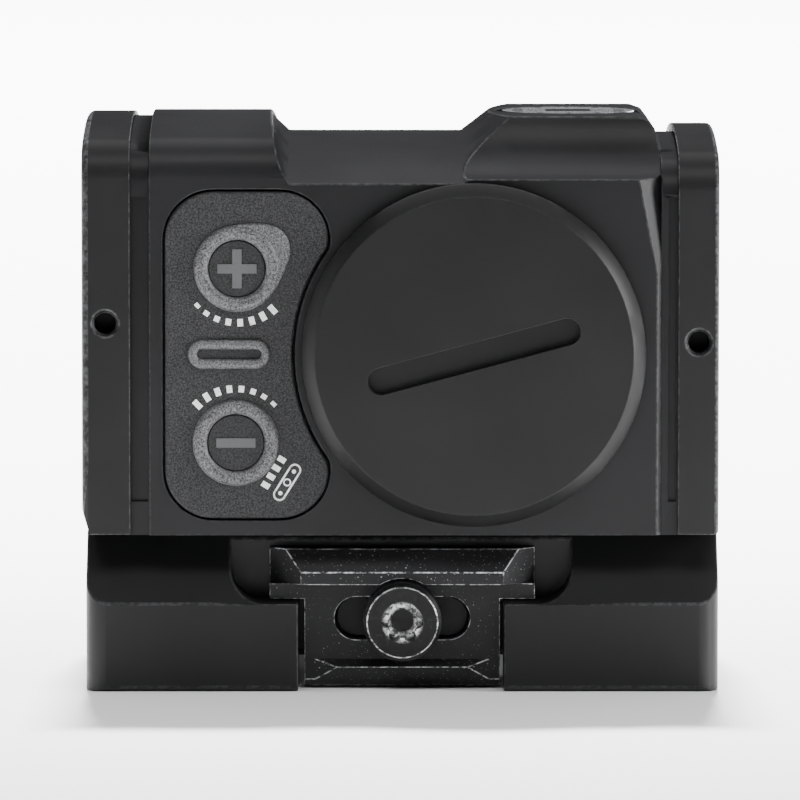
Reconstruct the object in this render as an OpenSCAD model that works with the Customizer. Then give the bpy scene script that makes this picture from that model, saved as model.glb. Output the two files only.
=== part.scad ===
// Enclosed red dot sight on a cross-slot rail clamp.
// The origin is the middle of the rail seat: X runs along the optical axis with the front lens at -X,
// the battery and keypad side faces -Y, and Z = 0 is the surface that rests on the rail.

/* [Housing] */
// Half of the housing's width
half_width = 15; // [14.6:0.1:16]
// Front face of the front hood
front_x = -23.6; // [-25:0.1:-23]
// Rear face of the rear hood
rear_x = 23.7; // [23:0.1:25]
// Front end of the housing, where the front hood is screwed on
front_joint_x = -20; // [-20.1:0.1:-19.7]
// Rear end of the housing, where the rear hood is screwed on
rear_joint_x = 20.65; // [20.4:0.05:20.8]
// Height of the joint between the housing and the rail base
joint_z = 6; // [5.9:0.1:6.1]
// Height of the optical axis above the rail
axis_z = 22; // [21.8:0.1:22.2]
// Top of the front arch
land_top = 36.9; // [36.85:0.05:37.2]
// Top of the adjustment turret
turret_top = 36.9; // [36.85:0.05:37.4]
// Width and height of the square aperture in each hood
aperture = 16; // [14:0.5:16.2]

/* [Battery] */
// Radius of the battery cap
cap_r = 12.75; // [12.6:0.05:12.85]
// How far the cap stands out of the housing
cap_proud = 2; // [1.5:0.1:2.5]
// Radius of the coin cell
cell_r = 10; // [9.9:0.05:10.05]
// Thickness of the coin cell
cell_h = 3.2; // [2.5:0.1:3.2]

/* [Keypad] */
// Length of each sign on the keys
sign_len = 2.9; // [2:0.1:3.2]
// Width of each sign's stroke
sign_w = 0.7; // [0.5:0.05:0.9]
// Travel of each key
key_travel = 0.45; // [0.3:0.05:0.45]

/* [Adjusters] */
// Radius of each adjustment dial
dial_r = 5; // [4.8:0.05:5.05]
// Travel of the emitter frames to each side
adjust_travel = 0.5; // [0.3:0.1:0.5]

/* [Rail clamp] */
// Length of the rail base
base_len = 47.1; // [46:0.1:47.3]
// Half width of the rail's flat top that the base sits on
seat_half = 7.84; // [7.7:0.02:7.9]
// Width of the recoil key, which drops into a cross slot of the rail
recoil_w = 5; // [4.8:0.1:5.2]

/* [Hidden] */
$fn = 96;
e = 0.01;

// Housing
shoulder_r = 3;
arch_r = 60;
groove = 0.45;
neck_top = 35.2;
front_hood_top = 36.8;
rear_hood_top = 35.85;
front_groove_x = -18.6;
rear_groove_x = 19.4;
relief_z = [8.5, 31.2];
relief_depth = 0.35;
waist_r = 36.85;
waist_z = -1.5;
waist_front_x = -8.3;
waist_back_x = 4.7;
tunnel_half = 8.25;
cavity_x = 9.5;
cavity_half = 10.4;
cavity_half_z = 11.8;
pin_r = 0.8;
pin_depth = 3;
front_pin = [-21.85, 21.8];
rear_pin = [22.2, 20.4];
hood_bottom = joint_z + 0.05;

// Lenses
lens_half = 9.4;
lens_t = 2.4;
gasket_t = 0.6;
lens_cell_x = 17.7;
lens_corner = 1;

// Hood screws
screw_y = 12.2;
screw_z = [9.5, 30.3];
screw_r = 0.8;
screw_head_r = 1.45;
screw_sink = 1.3;
screw_head_t = 0.85;
front_tap_x = -15.2;
rear_tap_x = 16.2;
tap_spare = 0.4;

// Battery
cap_x = 5.5;
cap_z = 19.5;
cap_face = -half_width - cap_proud;
cap_back = -half_width - 0.2;
cap_rim = 0.95;
coin_slot = [16.2, 2];
coin_slot_depth = 1.05;
coin_slot_turn = 15;
skirt_r = 11.3;
skirt_bore_r = 11.35;
skirt_in_r = 10.25;
skirt_end = -11.7;
compartment_y = -11.3;
seal_r = 12.2;
seal_y = -14.1;
seal_wire = 0.4;

// Keypad
pad_x = -17.4;
pad_end = -5.3;
pad_low = 7.3;
pad_high = 31.6;
pad_corner = 3.6;
pad_front = -15.2;
pad_back = -13.6;
pad_relief_r = 13.45;
pad_tip_r = 1.2;
board_y = -10.4;
board_t = 0.8;
board_x = [-15.8, -8.4];
board_z = [10.8, 28.2];
board_gap = 0.2;
dome_t = 0.5;
plus_at = [-12.05, 25.9];
minus_at = [-12.15, 12.95];
bar_at = [-12.65, 19.55];
key_r = 2.05;
key_hole_r = 2.12;
ridge_r = 3.2;
ridge_h = 0.42;
flange_r = 2.7;
pad_gap = 0.15;
bar_size = [6.1, 2.15];
bar_hollow = [4.9, 1];

// Adjusters
dial_x = 12.8;
dial_recess_r = 5.5;
dial_sink = 0.02;
ring_drop = 0.75;
dial_t = 1.2;
dial_recess = 1.4;
stem_r = 1.5;
stem_gap = 0.05;
stem_end_z = 31.65;
stem_end_y = 8.05;
stem_slot = 2 * (adjust_travel + stem_r + 0.15);
ball_r = 0.45;
click_x = 3.8;
click_depth = 2.9;
click_coil = [0.36, 0.1, 0.7];
return_coil = [1.1, 0.2];
spring_floor_z = 7.6;
frame_x = [10.1, 16.9];
inner_frame_x = [10.5, 16.5];
outer_half_y = 10.3;
outer_in_y = 9.6;
outer_half_z = 11.2;
outer_in_z = 10;
inner_half_y = 9.05;
inner_in_y = 8.3;
inner_half_z = 9.95;
inner_in_z = 8.3;

// Rail clamp
base_x = 0.2;
base_low = -5.7;
rail_half = 10.6;
rail_low = -2.8;
hook_y = 8.3;
hook_z = -5.45;
pocket_half = 12.7;
pocket_z = 0.9;
pocket_y = -10.9;
block_y = -10.95;
web_half = 7.65;
bolt_x = 0.2;
bolt_z = -0.4;
head_r = 2.92;
bolt_r = 1.5;
nut_y = 11.5;
nut_r = 2.9;
shank_end = 14.85;
six_lobe_r = 1.6;
jaw_top = 4.78;
jaw_low = -5.5;
arm_half = 9.9;
web_y = 13;
ridge_y = 14;
base_screw_x = 15;
base_screw_y = 6;
base_tap_z = 9.5;
guide_slot = [10.1, 3.2];
guide_lug = [9.85, 3];

// ---- Shared shapes ----

// Extrude a Y-Z profile along X.
module along_x(x0, x1) {
    translate([x0, 0, 0]) rotate([90, 0, 90]) linear_extrude(x1 - x0) children();
}

// Extrude an X-Z profile along Y.
module along_y(y0, y1) {
    translate([0, y1, 0]) rotate([90, 0, 0]) linear_extrude(y1 - y0) children();
}

module pin_x(y, z, r, x0, x1) {
    translate([x0, y, z]) rotate([0, 90, 0]) cylinder(r = r, h = x1 - x0);
}

module pin_y(x, z, r, y0, y1) {
    translate([x, y0, z]) rotate([-90, 0, 0]) cylinder(r = r, h = y1 - y0);
}

// A cone along Y, radius ra at y0 and rb at y1.
module cone_y(x, z, ra, rb, y0, y1) {
    translate([x, y0, z]) rotate([-90, 0, 0]) cylinder(r1 = ra, r2 = rb, h = y1 - y0);
}

module pin_z(x, y, r, z0, z1) {
    translate([x, y, z0]) cylinder(r = r, h = z1 - z0);
}

module rounded(x0, x1, z0, z1, r) {
    translate([x0 + r, z0]) square([x1 - x0 - 2 * r, z1 - z0]);
    translate([x0, z0 + r]) square([x1 - x0, z1 - z0 - 2 * r]);
    for (x = [x0 + r, x1 - r], z = [z0 + r, z1 - r]) translate([x, z]) circle(r = r);
}

module obround(w, h) {
    square([w - h, h], center = true);
    for (s = [-1, 1]) translate([s * (w - h) / 2, 0]) circle(r = h / 2);
}

// A square ring across X: outer half size a by b, inner half size c by d, about the optical axis.
module frame_ring(x0, x1, a, b, c, d) {
    along_x(x0, x1) difference() {
        translate([0, axis_z]) square([2 * a, 2 * b], center = true);
        translate([0, axis_z]) square([2 * c, 2 * d], center = true);
    }
}

module tunnel(x0, x1, half, r) {
    along_x(x0, x1) translate([0, axis_z]) rounded(-half, half, -half, half, r);
}

// Front view of the housing: flat sides, rounded shoulders and a shallow arch.
module arched_section(low, half, top) {
    centre = top - arch_r;
    fillet_y = half - shoulder_r;
    fillet_z = centre + sqrt(pow(arch_r - shoulder_r, 2) - pow(fillet_y, 2));
    reach = 1.2;
    translate([-half, low]) square([2 * half, fillet_z - low]);
    for (s = [-1, 1]) translate([s * fillet_y, fillet_z]) circle(r = shoulder_r);
    intersection() {
        translate([0, centre]) circle(r = arch_r);
        polygon([
            [-fillet_y, fillet_z - 1], [-fillet_y, fillet_z],
            [-fillet_y * reach, centre + (fillet_z - centre) * reach],
            [fillet_y * reach, centre + (fillet_z - centre) * reach],
            [fillet_y, fillet_z], [fillet_y, fillet_z - 1]]);
    }
}

// Front view of the turret: a flat top between two coves.
module turret_section(low, half, top) {
    cove_r = 6;
    cove_y = half + 0.5;
    cove_z = 38.47;
    difference() {
        translate([-half, low]) square([2 * half, top - low]);
        for (s = [-1, 1]) translate([s * cove_y, cove_z]) circle(r = cove_r);
    }
}

// ---- Housing ----

module housing_outside() {
    difference() {
        union() {
            along_x(front_groove_x, 0) arched_section(joint_z, half_width, land_top);
            along_x(-e, rear_groove_x) turret_section(joint_z, half_width, turret_top);
        }
        // the waist, turned about an axis along X, with a front wall that steepens over the shoulders
        intersection() {
            translate([0, 0, waist_z]) rotate([0, 90, 0]) rotate_extrude()
                polygon([
                    [waist_r, waist_front_x], [waist_r + 4, waist_front_x - 4.4],
                    [waist_r + 4, waist_back_x + 5.2], [waist_r, waist_back_x]]);
            along_y(-half_width - 1, half_width + 1) polygon([
                [-7.9, 31.5], [-8.3, 32.4], [-8.7, 33], [-9.05, 34], [-9.4, 35.9], [-9.67, land_top],
                [-9.67, 45], [20, 45], [20, 31.5]]);
        }
        // chamfer behind the turret
        along_y(-half_width - 1, half_width + 1)
            polygon([
                [rear_groove_x - 1.7, turret_top + e], [rear_groove_x - 0.8, turret_top - 0.3],
                [rear_groove_x - 0.35, turret_top - 0.9], [rear_groove_x + e, turret_top - 2.6],
                [rear_groove_x + 1, turret_top + 1], [rear_groove_x - 1.7, turret_top + 1]]);
        // rear side edges: a narrow chamfer, wider towards the shoulder
        for (s = [-1, 1]) {
            translate([rear_groove_x, s * half_width, 0]) linear_extrude(turret_top)
                polygon([[-0.3, 0], [0.1, -s * 0.4], [1, -s * 0.4], [1, s], [-0.3, s]]);
            translate([rear_groove_x - 0.3, s * half_width, 25.5]) rotate([0, -11, 0]) linear_extrude(12)
                polygon([[0, 0], [2, -s * 1.6], [4, -s * 1.6], [4, s], [0, s]]);
        }
    }
    along_x(front_joint_x, front_groove_x + e)
        arched_section(joint_z, half_width - groove, land_top - groove);
    along_x(rear_groove_x - e, rear_joint_x) arched_section(joint_z, half_width - groove, neck_top);
}

// The keypad's outline, grown by a gap: a rounded oblong with a bite that clears the cap, and round tips.
module keypad_outline(gap) {
    tip_x = pad_end - pad_tip_r;
    tip_reach = pad_relief_r + pad_tip_r;
    tip_z = sqrt(pow(tip_reach, 2) - pow(cap_x - tip_x, 2));
    inward = (pad_tip_r + 1) / tip_reach;
    difference() {
        rounded(pad_x - gap, pad_end + gap, pad_low - gap, pad_high + gap, pad_corner + gap);
        translate([cap_x, cap_z]) circle(r = pad_relief_r - gap);
        for (s = [-1, 1]) translate([tip_x, cap_z + s * tip_z]) difference() {
            polygon([[0, 0], [pad_tip_r + 1, 0], [(cap_x - tip_x) * inward, -s * tip_z * inward]]);
            circle(r = pad_tip_r + gap);
        }
    }
}

module main_housing() color("#2b2b2d") difference() {
    housing_outside();
    tunnel(front_joint_x - e, rear_joint_x + e, tunnel_half, lens_corner);
    // front lens seat
    tunnel(front_joint_x - e, front_joint_x + gasket_t + lens_t, lens_half + 0.1, lens_corner);
    // rear cavity for the emitter frames and the lens cell
    along_x(cavity_x, rear_joint_x + e)
        translate([0, axis_z]) square([2 * cavity_half, 2 * cavity_half_z], center = true);
    // shallow reliefs in the side grooves: the front one as wide as its groove, the rear one a slot
    for (s = [-1, 1], x = [[front_joint_x - e, front_groove_x - 0.1], [rear_joint_x - 0.7, rear_joint_x - 0.1]])
        translate([x[0], s * (half_width - groove) - relief_depth, relief_z[0]])
            cube([x[1] - x[0], 2 * relief_depth, relief_z[1] - relief_z[0]]);
    // battery compartment
    pin_y(cap_x, cap_z, skirt_bore_r, -half_width - 1, compartment_y);
    pin_y(cap_x, cap_z, seal_r, -half_width - 1, seal_y);
    // keypad pocket, circuit board pocket behind it
    along_y(-half_width - 1, pad_back) keypad_outline(pad_gap);
    along_y(pad_back - e, board_y) rounded(board_x[0] - board_gap, board_x[1] + board_gap,
        board_z[0] - board_gap, board_z[1] + board_gap, 1);
    // elevation dial: recess, stem hole, spring pocket
    pin_z(dial_x, 0, dial_recess_r, turret_top - dial_recess, turret_top + 1);
    pin_z(dial_x, 0, stem_r + stem_gap, axis_z + 11, turret_top);
    pin_z(dial_x, 0, 1.5, spring_floor_z, axis_z - cavity_half_z + e);
    // windage dial: recess and stem hole
    pin_y(dial_x, axis_z, dial_recess_r, half_width - dial_recess, half_width + 1);
    pin_y(dial_x, axis_z, stem_r + stem_gap, cavity_half - 1, half_width);
    // click ball pockets
    pin_z(dial_x - click_x, 0, ball_r + 0.1, turret_top - click_depth, turret_top - 1);
    pin_y(dial_x - click_x, axis_z, ball_r + 0.1, half_width - click_depth, half_width - 1);
    // tapped holes for the hood screws and the base screws
    for (y = [-screw_y, screw_y], z = screw_z) {
        pin_x(y, z, screw_r, front_joint_x - 1, front_tap_x);
        pin_x(y, z, screw_r, rear_tap_x, rear_joint_x + 1);
    }
    for (x = [-1, 1], y = [-1, 1])
        pin_z(base_x + x * base_screw_x, y * base_screw_y, bolt_r, joint_z - 1, base_tap_z);
}

module hood(x0, x1, top, pin) {
    front = x0 < 0;
    difference() {
        along_x(x0, x1) arched_section(hood_bottom, half_width, top);
        tunnel(x0 - e, x1 + e, aperture / 2, 1.5);
        // screw holes and counterbores from the outer face
        for (y = [-screw_y, screw_y], z = screw_z) {
            pin_x(y, z, screw_r + 0.1, x0 - 1, x1 + 1);
            pin_x(y, z, screw_head_r + 0.1, front ? x0 - 1 : x1 - screw_sink,
                front ? x0 + screw_sink : x1 + 1);
        }
        // blind holes for a lens cover's pins, with a countersink
        for (s = [-1, 1]) {
            pin_y(pin[0], pin[1], pin_r, s > 0 ? half_width - pin_depth : -half_width - 1,
                s > 0 ? half_width + 1 : -half_width + pin_depth);
        }
        cone_y(pin[0], pin[1], pin_r + 0.33, pin_r, -half_width - 0.1, -half_width + 0.23);
        cone_y(pin[0], pin[1], pin_r, pin_r + 0.33, half_width - 0.23, half_width + 0.1);
    }
}

module front_hood() color("#2d2d2f") difference() {
    hood(front_x, front_joint_x, front_hood_top, front_pin);
    // the lower front corner leans back
    along_y(-half_width - 1, half_width + 1)
        polygon([
            [front_x - e, 8], [front_x + 0.6, 6], [front_x + 0.6, 5], [front_x - 1, 5], [front_x - 1, 8]]);
}

module rear_hood() color("#2d2d2f")
    hood(rear_joint_x, rear_x, rear_hood_top, rear_pin);

module hood_screw(s, y, z, head_x, tip_x) {
    head_low = s < 0 ? head_x - screw_head_t : head_x;
    difference() {
        union() {
            pin_x(y, z, screw_r, min(head_x, tip_x), max(head_x, tip_x));
            pin_x(y, z, screw_head_r, head_low, head_low + screw_head_t);
        }
        // hexagon socket
        translate([s < 0 ? head_low - e : head_low + 0.1 + e, y, z]) rotate([0, 90, 0])
            cylinder(r = 0.8, h = screw_head_t - 0.1, $fn = 6);
    }
}

module front_hood_screws() color("#1c1c1e")
    for (y = [-screw_y, screw_y], z = screw_z)
        hood_screw(-1, y, z, front_x + screw_sink, front_tap_x - tap_spare);

module rear_hood_screws() color("#1c1c1e")
    for (y = [-screw_y, screw_y], z = screw_z)
        hood_screw(1, y, z, rear_x - screw_sink, rear_tap_x + tap_spare);

// ---- Optics ----

module front_lens() color("#6b5a86", 0.5) intersection() {
    tunnel(front_joint_x + gasket_t, front_joint_x + gasket_t + lens_t, lens_half, lens_corner);
    // shallow spherical faces that send the dot out as parallel light
    translate([-94.8, 0, axis_z]) sphere(r = 78, $fn = 256);
}

module front_lens_gasket() color("#151515") difference() {
    tunnel(front_joint_x + 0.02, front_joint_x + gasket_t - 0.02, lens_half, lens_corner);
    tunnel(front_joint_x - 1, front_joint_x + gasket_t + 1, tunnel_half, lens_corner);
}

module rear_lens_cell() color("#242426") difference() {
    tunnel(lens_cell_x, rear_joint_x - 0.05, cavity_half - 0.05, 0.3);
    tunnel(lens_cell_x - e, rear_joint_x + e, tunnel_half - 0.15, lens_corner);
    tunnel(lens_cell_x + 0.6, rear_joint_x + e, lens_half, lens_corner);
}

module rear_lens() color("#7f93a0", 0.5)
    tunnel(lens_cell_x + 0.6, lens_cell_x + 2.2, lens_half - 0.05, lens_corner);

module rear_lens_gasket() color("#151515") difference() {
    tunnel(lens_cell_x + 2.22, rear_joint_x - 0.06, lens_half - 0.05, lens_corner);
    tunnel(lens_cell_x + 2, rear_joint_x + 1, tunnel_half, lens_corner);
}

// ---- Battery ----

module battery_cap() color("#2b2b2d") difference() {
    union() {
        cone_y(cap_x, cap_z, cap_r - cap_rim, cap_r, cap_face, cap_face + cap_rim);
        pin_y(cap_x, cap_z, cap_r, cap_face + cap_rim, cap_back);
        pin_y(cap_x, cap_z, skirt_r, cap_back - e, skirt_end);
    }
    pin_y(cap_x, cap_z, skirt_in_r, cap_back, skirt_end + 1);
    // coin slot with round ends
    translate([cap_x, cap_face - 1, cap_z]) rotate([0, -coin_slot_turn, 0]) rotate([-90, 0, 0])
        linear_extrude(1 + coin_slot_depth) obround(coin_slot[0], coin_slot[1]);
}

module cap_o_ring() color("#101010")
    translate([cap_x, seal_y - seal_wire - 0.05, cap_z]) rotate([-90, 0, 0])
        rotate_extrude() translate([seal_r - seal_wire - 0.05, 0]) circle(r = seal_wire);

module coin_cell() color("#c8ccd0") {
    cell_top = cap_back + 0.05;
    pin_y(cap_x, cap_z, cell_r, cell_top, cell_top + cell_h * 0.7);
    pin_y(cap_x, cap_z, cell_r * 0.88, cell_top + cell_h * 0.7 - e, cell_top + cell_h);
}

module cell_contact_spring() color("#caa24a") translate([cap_x, 0, cap_z]) {
    // a foot on the compartment floor and a raised tongue under the cell
    translate([-6, compartment_y - 0.2, -2]) cube([3.2, 0.2, 4]);
    translate([0, 0, -1.5]) linear_extrude(3) polygon([
        [-3.2, compartment_y - 0.2], [2.6, compartment_y - 0.55], [3.6, compartment_y - 0.3],
        [3.6, compartment_y - 0.12], [2.6, compartment_y - 0.37], [-3.2, compartment_y]]);
}

// ---- Keypad ----

module circuit_board() color("#1f4a34")
    along_y(board_y - board_t, board_y) rounded(board_x[0], board_x[1], board_z[0], board_z[1], 0.8);

module switch_domes() color("#d9d9d6") for (at = [plus_at, minus_at])
    cone_y(at[0], at[1], 1.2, 2, board_y - board_t - dome_t, board_y - board_t);

// A raised ring with rounded flanks round a key.
module key_ridge(at) {
    translate([at[0], pad_front, at[1]]) rotate([90, 0, 0]) rotate_extrude() polygon([
        [key_hole_r, -0.2], [key_hole_r, 0.25], [key_hole_r + 0.25, ridge_h],
        [ridge_r - 0.45, ridge_h], [ridge_r, 0.05], [ridge_r, -0.2]]);
}

module keypad() color("#3c3c3c") difference() {
    union() {
        along_y(pad_front, pad_back) keypad_outline(0);
        key_ridge(plus_at);
        key_ridge(minus_at);
        // raised bar between the keys
        translate([bar_at[0], 0, bar_at[1]]) along_y(pad_front - 0.35, pad_front + e) difference() {
            obround(bar_size[0], bar_size[1]);
            obround(bar_hollow[0], bar_hollow[1]);
        }
    }
    for (at = [plus_at, minus_at]) {
        pin_y(at[0], at[1], key_hole_r, pad_front - 1, pad_back + 1);
        pin_y(at[0], at[1], flange_r + 0.1, pad_back - 0.95, pad_back + 1);
    }
}

module key_body(at) {
    face = pad_front - 0.12;
    // the face, the flange behind the keypad and the plunger over the dome
    pin_y(at[0], at[1], key_r, face, pad_back - 0.75);
    pin_y(at[0], at[1], flange_r, pad_back - 0.9, pad_back - 0.5);
    pin_y(at[0], at[1], 1.1, pad_back - 0.5 - e, board_y - board_t - dome_t - key_travel - 0.05);
}

module sign_bar(at, w, h) {
    translate([at[0], pad_front - 0.22, at[1]]) along_y(0, 0.15) square([w, h], center = true);
}

module plus_button() color("#55565a") {
    key_body(plus_at);
    sign_bar(plus_at, sign_len, sign_w);
    sign_bar(plus_at, sign_w, sign_len);
}

module minus_button() color("#55565a") {
    key_body(minus_at);
    sign_bar(minus_at, sign_len, sign_w);
}

// ---- Adjusters ----

// A dial with its stem, built downwards from a face at z = 0.
module dial(stem_len) {
    difference() {
        union() {
            translate([0, 0, -dial_t]) cylinder(r = dial_r, h = dial_t);
            translate([0, 0, -dial_t - stem_len]) cylinder(r = stem_r, h = stem_len + e);
        }
        // screwdriver slot
        translate([-dial_r * 0.62, -0.4, -0.6]) cube([dial_r * 1.24, 0.8, 1]);
        // click notches round the underside, clear of the O-ring
        for (i = [0 : 23]) rotate([0, 0, i * 15]) translate([click_x, 0, -dial_t - 0.28])
            sphere(r = 0.4, $fn = 24);
        // groove for the O-ring
        translate([0, 0, -ring_drop]) rotate_extrude() translate([dial_r + 0.1, 0]) circle(r = 0.42);
    }
}

module elevation_dial() color("#2b2b2d")
    translate([dial_x, 0, turret_top - dial_sink]) dial(turret_top - dial_sink - dial_t - stem_end_z);

module windage_dial() color("#2b2b2d")
    translate([dial_x, half_width - dial_sink, axis_z]) rotate([-90, 0, 0])
        dial(half_width - dial_sink - dial_t - stem_end_y);

module dial_o_ring() rotate_extrude() translate([dial_r + 0.13, 0]) circle(r = 0.36);

module elevation_dial_o_ring() color("#101010")
    translate([dial_x, 0, turret_top - dial_sink - ring_drop]) dial_o_ring();

module windage_dial_o_ring() color("#101010")
    translate([dial_x, half_width - dial_sink - ring_drop, axis_z]) rotate([-90, 0, 0]) dial_o_ring();

module click_balls() color("#d8dadd") {
    below = dial_sink + dial_t + 0.02 + ball_r;
    translate([dial_x - click_x, 0, turret_top - below]) sphere(r = ball_r);
    translate([dial_x - click_x, half_width - below, axis_z]) sphere(r = ball_r);
}

// A coil spring as one closed tube: its centre line climbs from z = 0 to the given height.
module coil(r, wire, height, turns) {
    steps = turns * 16;
    sides = 6;
    points = [for (i = [0 : steps], k = [0 : sides - 1])
        let (a = 360 * turns * i / steps, b = 360 * k / sides,
            q = r + wire * cos(b))
        [q * cos(a), q * sin(a), wire + (height - 2 * wire) * i / steps + wire * sin(b)]];
    walls = [for (i = [0 : steps - 1], k = [0 : sides - 1])
        let (m = (k + 1) % sides)
        each [[i * sides + k, (i + 1) * sides + k, (i + 1) * sides + m],
            [i * sides + k, (i + 1) * sides + m, i * sides + m]]];
    ends = [[for (k = [0 : sides - 1]) k], [for (k = [sides - 1 : -1 : 0]) steps * sides + k]];
    polyhedron(points = points, faces = concat(walls, ends));
}

module click_springs() color("#b9bcc0") {
    translate([dial_x - click_x, 0, turret_top - click_depth + 0.02])
        coil(click_coil[0], click_coil[1], click_coil[2], 2);
    translate([dial_x - click_x, half_width - click_depth + 0.02, axis_z]) rotate([-90, 0, 0])
        coil(click_coil[0], click_coil[1], click_coil[2], 2);
}

module elevation_frame() color("#8d9095") difference() {
    frame_ring(frame_x[0], frame_x[1], outer_half_y, outer_half_z, outer_in_y, outer_in_z);
    pin_z(dial_x, 0, stem_r + stem_gap, axis_z + 9, axis_z + 12);
    // window for the windage stem, tall enough for the elevation travel
    translate([dial_x - stem_r - 0.2, 9, axis_z - stem_slot / 2]) cube([2 * stem_r + 0.4, 2, stem_slot]);
}

module windage_frame() color("#a4a7ab") difference() {
    frame_ring(inner_frame_x[0], inner_frame_x[1], inner_half_y, inner_half_z, inner_in_y, inner_in_z);
    // upright slot for the windage stem, which stays put while the frames rise and fall
    translate([dial_x, 0, axis_z]) along_y(7, 10) rotate(90) obround(stem_slot, 2 * (stem_r + stem_gap));
    // clearance under the elevation stem
    translate([dial_x - stem_r - 0.2, -stem_slot / 2, axis_z + inner_half_z - 0.9])
        cube([2 * stem_r + 0.4, stem_slot, 2]);
}

module led_emitter() color("#b23a2a")
    translate([12.6, -0.6, axis_z - inner_in_z + 0.01]) cube([1.2, 1.2, 0.8]);

module elevation_return_spring() color("#b9bcc0")
    translate([dial_x, 0, spring_floor_z + 0.02])
        coil(return_coil[0], return_coil[1], axis_z - outer_half_z - spring_floor_z - 0.04, 4);

// ---- Rail clamp ----

module base_blank() {
    x0 = base_x - base_len / 2;
    x1 = base_x + base_len / 2;
    slope_y = 10.3;
    plan_r = 1.6;
    edge = 0.35;
    intersection() {
        // end view: upright sides that lean in above the pocket line
        along_x(x0, x1) polygon([
            [-half_width + edge, base_low], [half_width - edge, base_low],
            [half_width, base_low + edge], [half_width, pocket_z], [slope_y, joint_z],
            [-slope_y, joint_z], [-half_width, pocket_z], [-half_width, base_low + edge]]);
        // plan view with rounded corners
        translate([0, 0, base_low]) linear_extrude(joint_z - base_low)
            rounded(x0, x1, -half_width, half_width, plan_r);
    }
}

// The space that the rail fills, with the far hook.
module rail_channel() {
    along_x(base_x - base_len / 2 - 1, base_x + base_len / 2 + 1) polygon([
        [-seat_half, 0], [seat_half, 0], [rail_half + 0.1, rail_low],
        [rail_half + 0.1, rail_low - 0.25], [hook_y, hook_z], [hook_y, base_low - 1],
        [block_y, base_low - 1], [block_y, block_y + seat_half]]);
}

module rail_base() color("#2a2a2c") {
    difference() {
        base_blank();
        rail_channel();
        // the jaw's pocket: a wide slot over a narrower one that runs out of the bottom
        along_y(-half_width - 1, pocket_y) {
            rounded(-pocket_half + 0.1, pocket_half + 0.1, pocket_z, 9.5, 2.5);
            translate([-web_half + 0.1, base_low - 1]) square([2 * web_half, 9]);
        }
        // recoil key slot and bolt bore
        along_y(-11, 11.2) translate([bolt_x - recoil_w / 2, -3.2]) square([recoil_w, 5.8]);
        pin_y(bolt_x, bolt_z, 1.53, -half_width - 1, half_width + 1);
        pin_y(bolt_x, bolt_z, nut_r, nut_y, half_width + 1);
        // countersunk screw holes through the channel's roof
        for (x = [-1, 1], y = [-1, 1]) {
            pin_z(base_x + x * base_screw_x, y * base_screw_y, 1.6, -1, joint_z + 1);
            translate([base_x + x * base_screw_x, y * base_screw_y, -e])
                cylinder(r1 = 3, r2 = 1.6, h = 1.7);
        }
    }
    // two lugs that guide the jaw, one to each side of the bolt
    for (s = [-1, 1]) intersection() {
        translate([bolt_x, 0, bolt_z]) along_y(-11.5, pocket_y + 0.3) obround(guide_lug[0], guide_lug[1]);
        translate([s > 0 ? bolt_x + 1.65 : bolt_x - 10, -13, bolt_z - 3]) cube([8.35, 3, 6]);
    }
}

// End view of the jaw: the rail hook below and the outer face with its two ridges.
module jaw_section() {
    polygon([
        [-10.95, jaw_top], [-10.95, -3.1], [-8.4, jaw_low], [-12.5, jaw_low], [-ridge_y, -3.95],
        [-web_y, -3.45], [-web_y, 2.2], [-ridge_y, 2.2], [-ridge_y, 3.13], [-12.7, jaw_top]]);
}

module clamp_jaw() color("#2a2a2c") difference() {
    intersection() {
        along_x(bolt_x - arm_half, bolt_x + arm_half) jaw_section();
        // front view: a T
        along_y(-16, -8) {
            translate([bolt_x - arm_half, 1.05]) square([2 * arm_half, jaw_top - 1.05]);
            translate([bolt_x - 7.3, jaw_low]) square([14.6, 8]);
        }
    }
    for (s = [-1, 1]) {
        // mitre the upper ridge towards the arm ends
        translate([bolt_x + s * 7.55, 0, 2.2]) linear_extrude(4)
            polygon([[0, -ridge_y], [0, -15], [s * 3, -15], [s * 3, -10.7], [s * 2.4, -11.3]]);
        // mitre the lower ridge down to the web's face
        translate([bolt_x + s * 4.85, 0, -6]) linear_extrude(3)
            polygon([[0, -ridge_y], [0, -15], [s * 3.5, -15], [s * 3.5, -web_y], [s * 1.65, -web_y]]);
    }
    // spot face for the bolt's head
    pin_y(bolt_x, bolt_z, head_r + 0.15, -16, -web_y);
    // slot for the guide lugs and the bolt
    translate([bolt_x, 0, bolt_z]) along_y(-17, -7) obround(guide_slot[0], guide_slot[1]);
}

module six_lobe(r) {
    circle(r = r * 0.72);
    for (i = [0 : 5]) rotate(i * 60) translate([r * 0.7, 0]) circle(r = r * 0.28, $fn = 24);
}

module clamp_bolt() color("#232325") difference() {
    union() {
        cone_y(bolt_x, bolt_z, head_r - 0.32, head_r, -16, -15.65);
        pin_y(bolt_x, bolt_z, head_r, -15.65, -13.02);
        pin_y(bolt_x, bolt_z, bolt_r, -13.02 - e, shank_end);
    }
    translate([bolt_x, -17, bolt_z]) rotate([-90, 0, 0]) linear_extrude(2.5) six_lobe(six_lobe_r);
}

module clamp_nut() color("#a9adb2") difference() {
    pin_y(bolt_x, bolt_z, nut_r, nut_y, 14.9);
    pin_y(bolt_x, bolt_z, 1.53, nut_y - 1, 16);
}

module recoil_key() color("#3a3b3d") difference() {
    translate([bolt_x - recoil_w / 2 + 0.02, -10.6, -2.7]) cube([recoil_w - 0.04, 21.2, 5.28]);
    pin_y(bolt_x, bolt_z, 1.55, -12, 12);
    // follow the rail's flanks
    along_x(-4, 4) {
        polygon([[-11, -2.5], [-10.3, -2.5], [-10.3, -3], [-11, -3]]);
        polygon([[11, -2.5], [10.3, -2.5], [10.3, -3], [11, -3]]);
    }
}

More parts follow.
